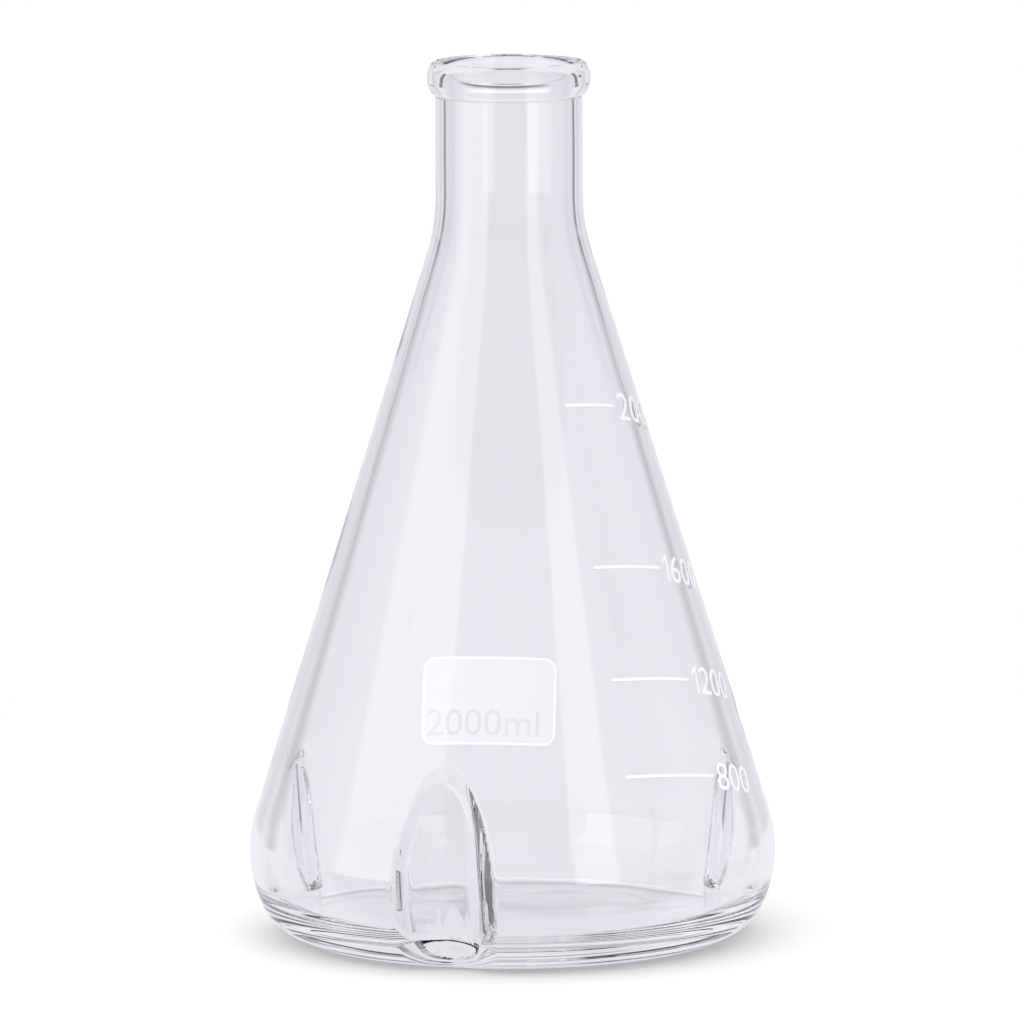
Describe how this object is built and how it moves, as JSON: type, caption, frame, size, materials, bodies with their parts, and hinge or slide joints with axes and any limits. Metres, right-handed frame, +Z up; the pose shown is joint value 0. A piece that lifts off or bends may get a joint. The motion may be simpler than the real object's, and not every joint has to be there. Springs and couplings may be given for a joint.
{
  "type": "baffled erlenmeyer flask",
  "caption": "Conical laboratory shake flask of clear glass with a straight neck, a beaded rim and pressed baffles around its heel.",
  "frame": {"origin": "centre of the foot, on the plane that the flask stands on", "axes": "+Z up along the axis and out of the mouth, -Y towards the front, where the scale is read, +X to the right of it"},
  "size_m": [0.166, 0.166, 0.276],
  "materials": {
    "clear_glass": "fire polished",
    "white_enamel": "fired enamel print"
  },
  "bodies": {
    "root": {"flask": "clear_glass"}
  },
  "joints": []
}
